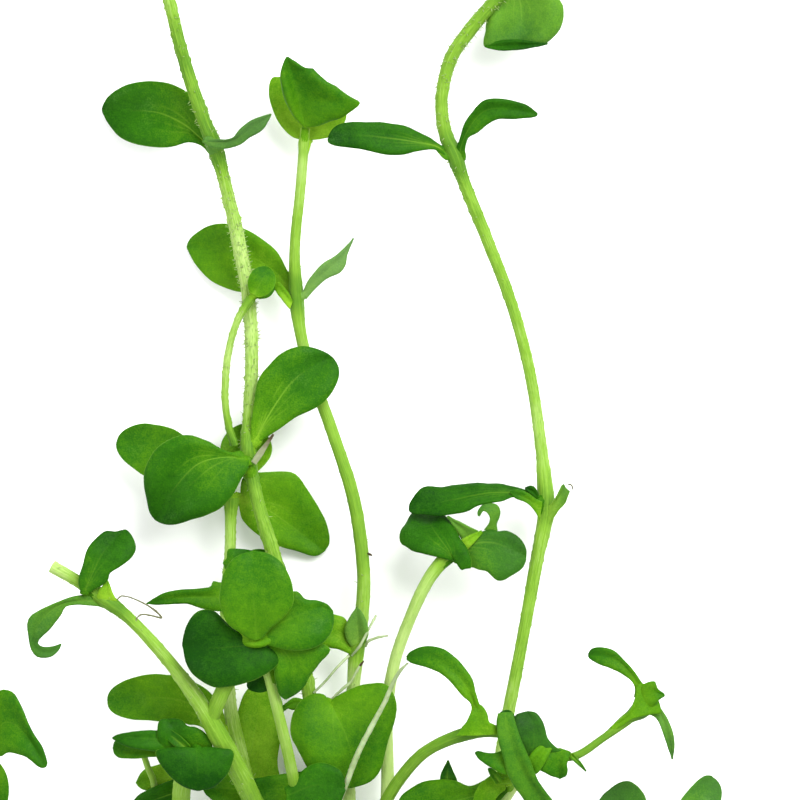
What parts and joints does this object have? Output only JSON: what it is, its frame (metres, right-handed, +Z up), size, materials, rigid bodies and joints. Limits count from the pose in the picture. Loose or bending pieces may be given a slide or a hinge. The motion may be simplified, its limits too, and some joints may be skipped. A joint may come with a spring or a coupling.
{
  "type": "bacopa plant",
  "caption": "Picked clump of bacopa, a small pond and aquarium plant, lying flat: pale round stems from one short rootstock with pairs of thin oval green leaves.",
  "frame": {"origin": "the point of the surface that the clump lies on, under the centre of its bounding box", "axes": "+Z up from the surface, +Y from the rootstock towards the tips of the tall shoots, +X towards the clump's right as the picture shows it"},
  "size_m": [0.1498, 0.188, 0.0399],
  "materials": {
    "stem": "soft satin, pale yellow-green living stem",
    "leaf": "soft satin, deep green living leaf",
    "rootstock": "matt, pale green-brown creeping stem"
  },
  "bodies": {
    "root": {"rootstock": "rootstock", "left_stem": "stem", "side_shoot": "stem", "back_stem": "stem", "middle_stem": "stem", "right_stem": "stem", "curved_stem": "stem", "front_left_stem": "stem", "front_fork": "stem", "front_thin_stem": "stem", "trailing_stem": "stem", "far_left_stem": "stem", "low_right_stem": "stem", "low_left_stem": "stem", "front_right_stem": "stem", "left_stem_leaf_a": "leaf", "left_stem_leaf_b": "leaf", "left_stem_leaf_c": "leaf", "left_stem_leaf_d": "leaf", "left_stem_leaf_e": "leaf", "side_shoot_leaf": "leaf", "middle_stem_leaf_a": "leaf", "middle_stem_leaf_b": "leaf", "middle_stem_leaf_c": "leaf", "middle_stem_leaf_d": "leaf", "middle_stem_leaf_e": "leaf", "heart_leaf": "leaf", "right_stem_leaf_a": "leaf", "right_stem_leaf_b": "leaf", "right_stem_leaf_c": "leaf", "right_stem_leaf_d": "leaf", "curved_stem_leaf_a": "leaf", "curved_stem_leaf_b": "leaf", "back_stem_leaf_a": "leaf", "back_stem_leaf_b": "leaf", "back_stem_leaf_c": "leaf", "back_stem_leaf_d": "leaf", "back_stem_leaf_e": "leaf", "back_stem_leaf_f": "leaf", "front_left_leaf_a": "leaf", "front_left_leaf_b": "leaf", "front_cluster_leaf_a": "leaf", "front_cluster_leaf_b": "leaf", "front_cluster_leaf_c": "leaf", "front_cluster_leaf_d": "leaf", "trailing_stem_leaf_a": "leaf", "trailing_stem_leaf_b": "leaf", "trailing_stem_leaf_c": "leaf", "trailing_stem_leaf_d": "leaf", "trailing_stem_leaf_e": "leaf", "trailing_stem_leaf_f": "leaf", "trailing_stem_leaf_g": "leaf", "low_left_leaf": "leaf", "far_left_leaf_a": "leaf", "far_left_leaf_b": "leaf", "low_right_leaf_a": "leaf", "low_right_leaf_b": "leaf", "front_right_leaf_a": "leaf", "front_right_leaf_b": "leaf", "front_thin_stem_leaf": "leaf"}
  },
  "joints": []
}
